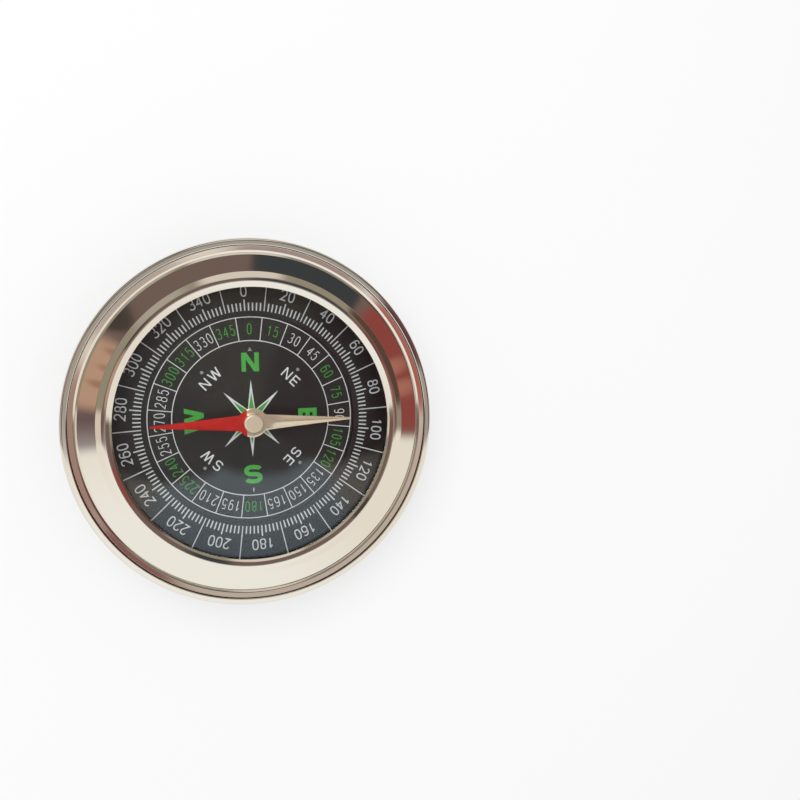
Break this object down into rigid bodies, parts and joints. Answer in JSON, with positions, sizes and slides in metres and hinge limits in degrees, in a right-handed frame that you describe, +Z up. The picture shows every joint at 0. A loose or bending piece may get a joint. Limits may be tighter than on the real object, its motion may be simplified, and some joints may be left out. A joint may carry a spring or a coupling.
{
  "type": "magnetic compass",
  "caption": "Round dry magnetic compass in a polished steel case: flat glass, black degree dial and a free needle, red on one half, that turns on a pivot point.",
  "frame": {"origin": "centre of the flat back, on the surface that the compass lies on", "axes": "+Z up along the pivot, out of the glass; +Y to the dial's north; +X to the dial's east"},
  "size_m": [0.1, 0.1, 0.021],
  "materials": {
    "polished_steel": "mirror-polished stainless steel, with a turned satin on the case wall",
    "back_steel": "circular brushed stainless steel",
    "black_plastic": "fine moulded matte",
    "dial_print": "satin black with white and green print",
    "brass": "turned",
    "pin_steel": "ground and hardened",
    "jewel": "polished bearing stone",
    "needle_steel": "bright pressed steel, one arm painted red",
    "seal_rubber": "matte",
    "crystal_glass": "clear flat glass"
  },
  "bodies": {
    "case": {"case_body": "polished_steel", "back_cover": "back_steel", "inner_tray": "black_plastic", "dial_rose": "dial_print", "degree_ring": "dial_print", "pivot_post": "brass", "post_washer": "brass", "pivot_pin": "pin_steel", "dial_wall": "black_plastic", "crystal_seal": "seal_rubber", "crystal": "crystal_glass", "bezel_ring": "polished_steel"},
    "needle": {"needle_blade": "needle_steel", "needle_cap": "needle_steel", "jewel_cup": "jewel"}
  },
  "joints": [
    {"name": "needle_spin", "type": "hinge", "parent": "case", "child": "needle", "pos_m": [0, 0, 0.016], "axis": [0, 0, 1], "continuous": true}
  ]
}
